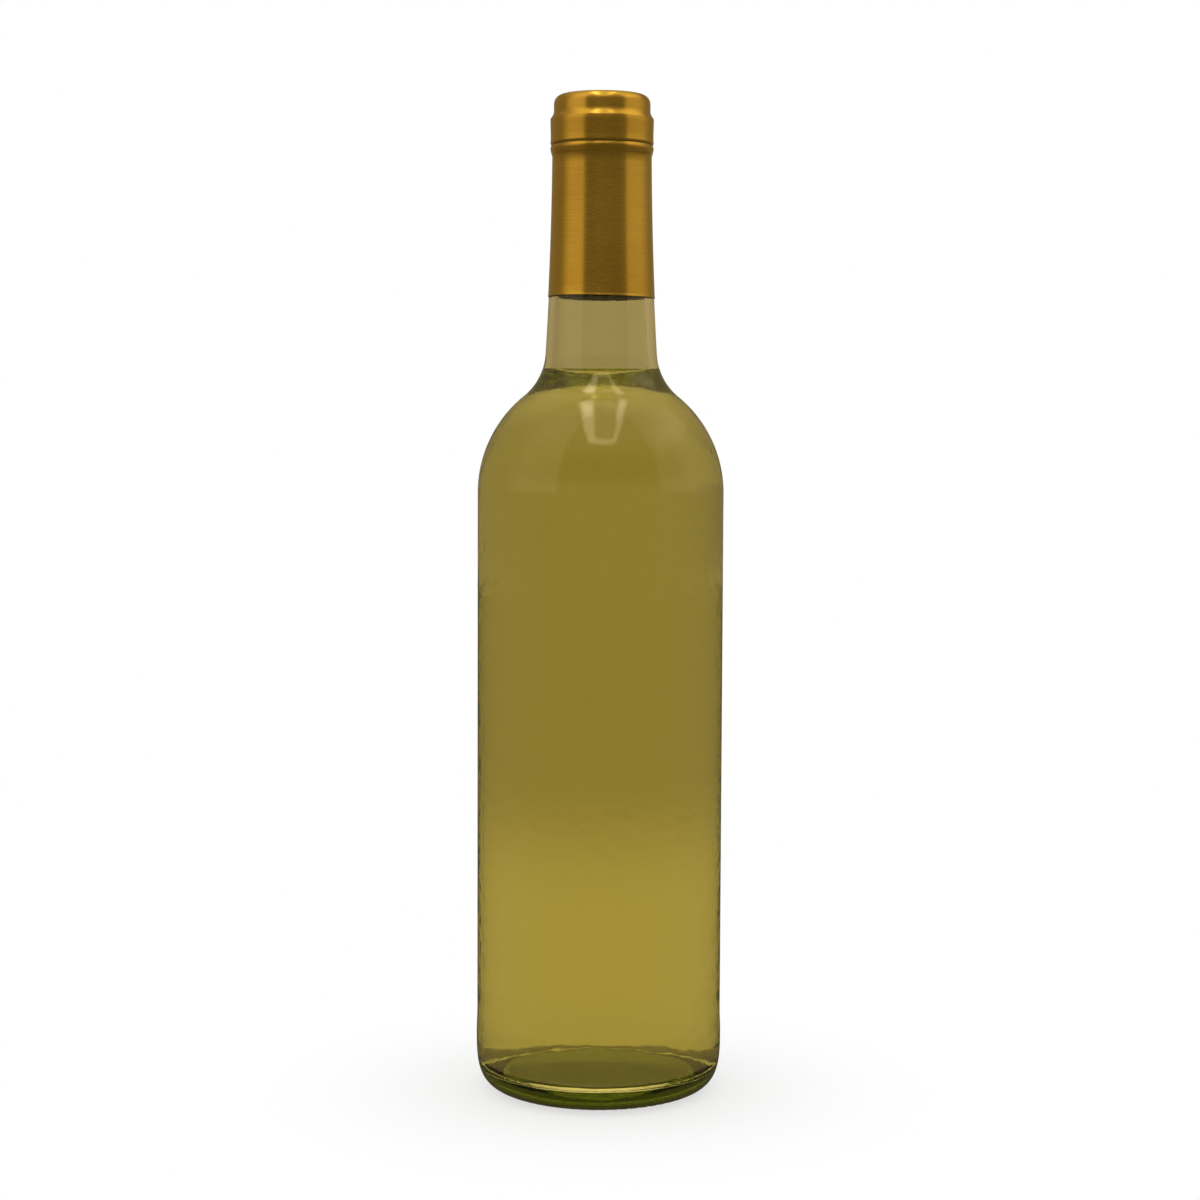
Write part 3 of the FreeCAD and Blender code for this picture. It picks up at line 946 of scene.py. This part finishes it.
    def walls(self, tree, split):
        """What metal and glass mirror at their own level: a dim opening in front and pale walls."""
        grey = add_node(tree, "ShaderNodeMapRange", {
            "Value": split.outputs["Y"], "From Min": -0.9, "From Max": 0.3,
            "To Min": 0.15, "To Max": 0.25})
        front = add_node(tree, "ShaderNodeMath", {0: split.outputs["Y"], 1: -1.0}, operation="MULTIPLY")
        turn = add_node(tree, "ShaderNodeMath", {
            0: split.outputs["X"], 1: front.outputs["Value"]}, operation="ARCTAN2").outputs["Value"]
        above = add_node(tree, "ShaderNodeMapRange", {
            "Value": split.outputs["Z"], "From Min": -0.03, "From Max": 0.05},
            interpolation_type="SMOOTHSTEP").outputs["Result"]
        glow = add_node(tree, "ShaderNodeMapRange", {
            "Value": split.outputs["Z"], "From Min": 0.45, "From Max": 0.85,
            "To Min": 0.0, "To Max": CEILING_LEVEL}, interpolation_type="SMOOTHSTEP")
        terms = [grey.outputs["Result"], glow.outputs["Result"]]
        for start, start_edge, end, end_edge, level in self.WALL_PANELS:
            edges = [math.radians(value) for value in (start, start_edge, end, end_edge)]
            terms.append(self.total(tree, [
                self.window(tree, turn, *edges), above, level], "MULTIPLY"))
        return self.total(tree, terms)

    def seen_through(self, tree, split):
        """What shows through the glass: a lit wall behind, dimmer to the left and high up in front."""
        left = add_node(tree, "ShaderNodeMapRange", {
            "Value": split.outputs["X"], "From Min": -0.95, "From Max": -0.3,
            "To Min": 0.68, "To Max": 1.0}, interpolation_type="SMOOTHSTEP")
        front = add_node(tree, "ShaderNodeMapRange", {
            "Value": split.outputs["Y"], "From Min": -0.2, "From Max": 0.4,
            "To Min": 1.0, "To Max": 0.0}, interpolation_type="SMOOTHSTEP")
        high = add_node(tree, "ShaderNodeMapRange", {
            "Value": split.outputs["Z"], "From Min": 0.1, "From Max": 0.3,
            "To Min": 0.0, "To Max": FRONT_SHADE}, interpolation_type="SMOOTHSTEP")
        shade = self.total(
            tree, [front.outputs["Result"], high.outputs["Result"]], "MULTIPLY")
        lit = add_node(tree, "ShaderNodeMath", {0: 1.0, 1: shade}, operation="SUBTRACT")
        return self.total(tree, [left.outputs["Result"], lit.outputs["Value"]], "MULTIPLY")

    def add_camera(self, scene):
        """Camera about level with the shoulder, 0.75 m away, looking a little down."""
        pitch = math.radians(4.069)
        lean = math.radians(0.236)
        bpy.ops.object.camera_add(location=(-0.00006, -0.75, 0.204))
        camera = bpy.context.object
        camera.name = "camera"
        camera.data.sensor_width = 36
        camera.data.lens = 73.8
        camera.data.clip_start = 0.01
        camera.data.dof.use_dof = False
        tilt = Matrix.Rotation(math.radians(90) - pitch, 4, "X") @ Matrix.Rotation(lean, 4, "Z")
        camera.rotation_euler = tilt.to_euler()
        scene.camera = camera


class BottlePanel(bpy.types.Panel):
    """Buttons for each piece of the bottle"""

    bl_idname = "VIEW3D_PT_wine_bottle"
    bl_label = "Wine Bottle"
    bl_space_type = "VIEW_3D"
    bl_region_type = "UI"
    bl_category = "Bottle"

    def draw(self, context):
        for operator in PIECE_OPERATORS:
            self.layout.operator(operator.bl_idname)
        for settings in (context.scene.bottle_shape, context.scene.bottle_finish):
            for name in settings.__annotations__:
                self.layout.prop(settings, name)


PIECE_OPERATORS = (AddGlassBottle, AddWine, AddCapsule, AddStudio)
CLASSES = (BottleShape, BottleFinish) + PIECE_OPERATORS + (BottlePanel,)


def register():
    for cls in CLASSES:
        bpy.utils.register_class(cls)
    bpy.types.Scene.bottle_shape = bpy.props.PointerProperty(type=BottleShape)
    bpy.types.Scene.bottle_finish = bpy.props.PointerProperty(type=BottleFinish)


def unregister():
    del bpy.types.Scene.bottle_finish
    del bpy.types.Scene.bottle_shape
    for cls in reversed(CLASSES):
        bpy.utils.unregister_class(cls)


def main():
    register()
    bpy.ops.bottle.add_glass()
    bpy.ops.bottle.add_wine()
    bpy.ops.bottle.add_capsule()
    bpy.ops.bottle.add_studio()


if __name__ == "__main__":
    main()
